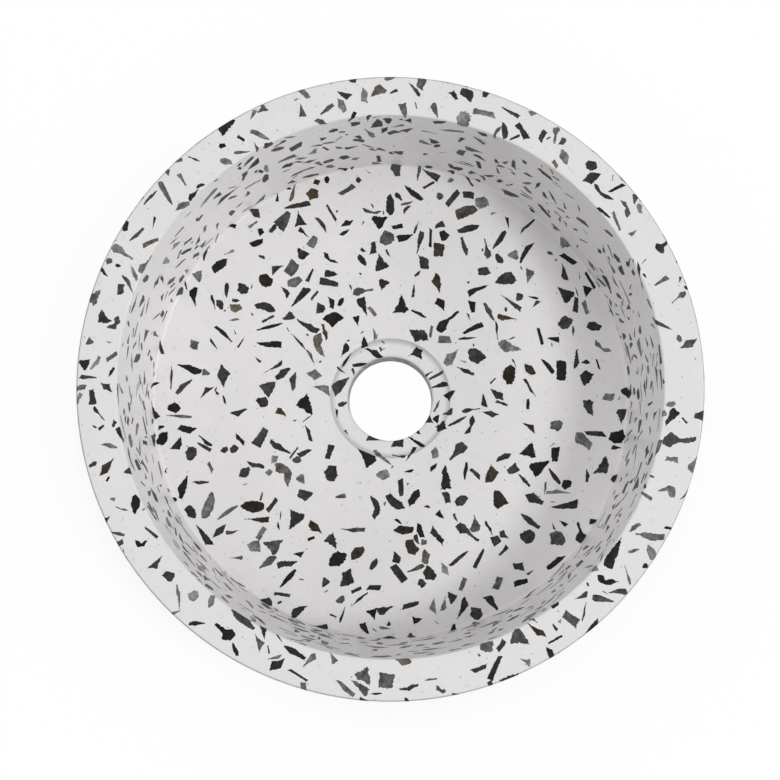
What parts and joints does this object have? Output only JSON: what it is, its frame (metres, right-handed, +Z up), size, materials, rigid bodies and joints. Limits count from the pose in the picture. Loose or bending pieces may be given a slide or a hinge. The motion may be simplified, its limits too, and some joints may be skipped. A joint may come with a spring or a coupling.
{
  "type": "vessel basin",
  "caption": "Round terrazzo vessel basin: thick cement wall with flat rim, stone chips bedded flush, and a sunk seat around an open drain hole.",
  "frame": {"origin": "centre of the foot, on the surface that the basin stands on", "axes": "+Z up along the axis of the drain; X and Y lie in the surface that the basin stands on"},
  "size_m": [0.29, 0.2898, 0.114],
  "materials": {
    "white_cement": "honed and sealed, satin",
    "black_stone": "honed, satin",
    "grey_stone": "honed, satin",
    "brown_stone": "honed, satin"
  },
  "bodies": {
    "root": {"cement_basin": "white_cement", "rim_black_chips": "black_stone", "rim_grey_chips": "grey_stone", "wall_black_chips": "black_stone", "wall_grey_chips": "grey_stone", "floor_black_chips": "black_stone", "floor_grey_chips": "grey_stone", "floor_brown_chips": "brown_stone", "side_black_chips": "black_stone", "side_grey_chips": "grey_stone"}
  },
  "joints": []
}
